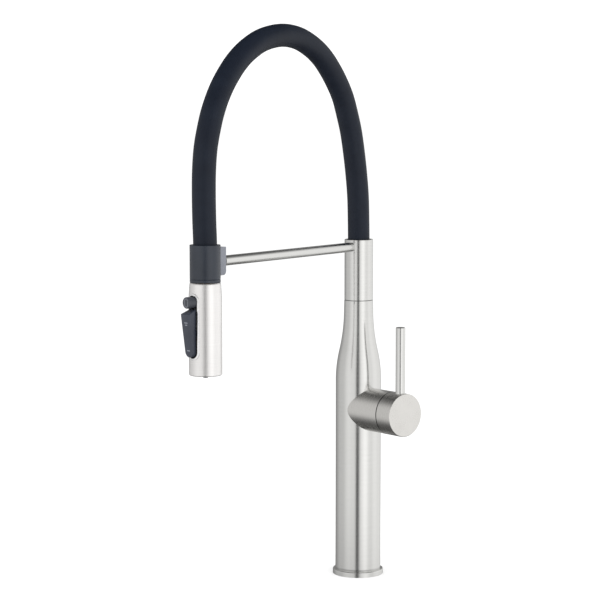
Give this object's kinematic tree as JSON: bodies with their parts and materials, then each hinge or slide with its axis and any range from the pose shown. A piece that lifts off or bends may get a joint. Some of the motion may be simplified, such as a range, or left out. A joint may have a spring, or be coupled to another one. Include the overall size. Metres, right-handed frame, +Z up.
{
  "type": "kitchen mixer faucet with docking spray hose",
  "caption": "Tall single-lever kitchen faucet with a sprung silicone hose arching from the column to a pull-off spray head held by a magnetic dock on a straight arm.",
  "frame": {"origin": "centre of the seat on the deck, on the underside of the flange", "axes": "+Z up along the body, -Y along the docking arm towards the spray head, +X to the side of the lever hub"},
  "size_m": [0.1039, 0.3095, 0.578],
  "materials": {
    "stainless": "brushed",
    "brass": "machined",
    "copper": "drawn tube",
    "seal_rubber": "matt",
    "dark_plastic": "satin",
    "dock_plastic": "satin",
    "white_plastic": "satin",
    "ceramic": "polished ceramic",
    "bright_steel": "polished",
    "spring_steel": "drawn wire",
    "magnet": "nickel plated",
    "silicone": "matt silicone",
    "hose_plastic": "extruded"
  },
  "bodies": {
    "body": {"deck_gasket": "seal_rubber", "base_flange": "stainless", "base_manifold": "brass", "hot_riser": "copper", "cold_riser": "copper", "lower_body": "stainless", "valve_block": "brass", "cartridge_housing": "brass", "valve_stub": "stainless", "cartridge_seals": "seal_rubber", "cartridge_base": "white_plastic", "fixed_disc": "ceramic", "cartridge_case": "white_plastic", "cartridge_nut": "brass", "bonnet_dome": "stainless", "outlet_riser": "copper", "swivel_spigot": "brass", "swivel_o_rings": "seal_rubber", "slip_washer": "dark_plastic", "swivel_clip": "bright_steel"},
    "mixer_carrier": {"mixer_carrier": "white_plastic", "stem_pin": "bright_steel"},
    "flow_disc": {"moving_disc": "ceramic"},
    "lever": {"mixer_stem": "bright_steel", "handle_cap": "stainless", "lever_pin": "stainless", "handle_screw": "bright_steel"},
    "spout": {"upper_column": "stainless", "column_bush": "white_plastic", "hose_socket": "brass", "arm_rod": "stainless", "arm_screw": "bright_steel", "dock_neck": "dark_plastic", "dock_block": "dock_plastic", "dock_magnet": "magnet", "hose_sleeve": "silicone", "hose_spring": "spring_steel", "hose_tube": "hose_plastic"},
    "hose_end": {"hose_nipple": "brass", "nipple_seal": "seal_rubber", "hose_collar": "dark_plastic", "collar_ring": "bright_steel"},
    "spray_head": {"head_shell": "stainless", "head_nut": "brass", "head_filter": "bright_steel", "check_valve": "white_plastic", "head_core": "white_plastic", "control_bezel": "bright_steel", "control_housing": "dark_plastic", "button_spring": "spring_steel", "rocker_pin": "bright_steel", "spray_plate": "dark_plastic", "nozzle_mat": "seal_rubber", "jet_nozzle": "dark_plastic"},
    "rocker": {"spray_rocker": "dark_plastic"},
    "button": {"pause_button": "dark_plastic"}
  },
  "joints": [
    {"name": "lever_temperature", "type": "hinge", "parent": "body", "child": "mixer_carrier", "pos_m": [0.03874, -0.00995, 0.1785], "axis": [0.9686, -0.2487, 0], "range_deg": [-45, 45]},
    {"name": "lever_flow", "type": "hinge", "parent": "mixer_carrier", "child": "lever", "pos_m": [0.03874, -0.00995, 0.1785], "axis": [0.2487, 0.9686, 0], "range_deg": [0, 20]},
    {"name": "flow_disc_slide", "type": "slide", "parent": "mixer_carrier", "child": "flow_disc", "axis": [0, 0, 1], "range_m": [0, 0.0034]},
    {"name": "spout_swivel", "type": "hinge", "parent": "body", "child": "spout", "pos_m": [0, 0, 0.293], "axis": [0, 0, 1], "continuous": true},
    {"name": "head_undock", "type": "slide", "parent": "spout", "child": "hose_end", "axis": [0, -1, 0], "range_m": [0, 0.06], "deforming": ["hose_sleeve", "hose_spring", "hose_tube"]},
    {"name": "head_spin", "type": "hinge", "parent": "hose_end", "child": "spray_head", "pos_m": [0, -0.257, 0.331], "axis": [0, 0, 1], "continuous": true},
    {"name": "rocker_tilt", "type": "hinge", "parent": "spray_head", "child": "rocker", "pos_m": [-0.00172, -0.26583, 0.283], "axis": [0.9816, -0.1908, 0], "range_deg": [-3.5, 3.5]},
    {"name": "button_press", "type": "slide", "parent": "spray_head", "child": "button", "axis": [0.1908, 0.9816, 0], "range_m": [0, 0.0025], "stiffness_N_per_m": 400, "springref_m": -0.001, "deforming": ["button_spring"]}
  ],
  "couplings": [
    {"joint": "flow_disc_slide", "follows": "lever_flow", "m_per_rad": 0.0093}
  ]
}
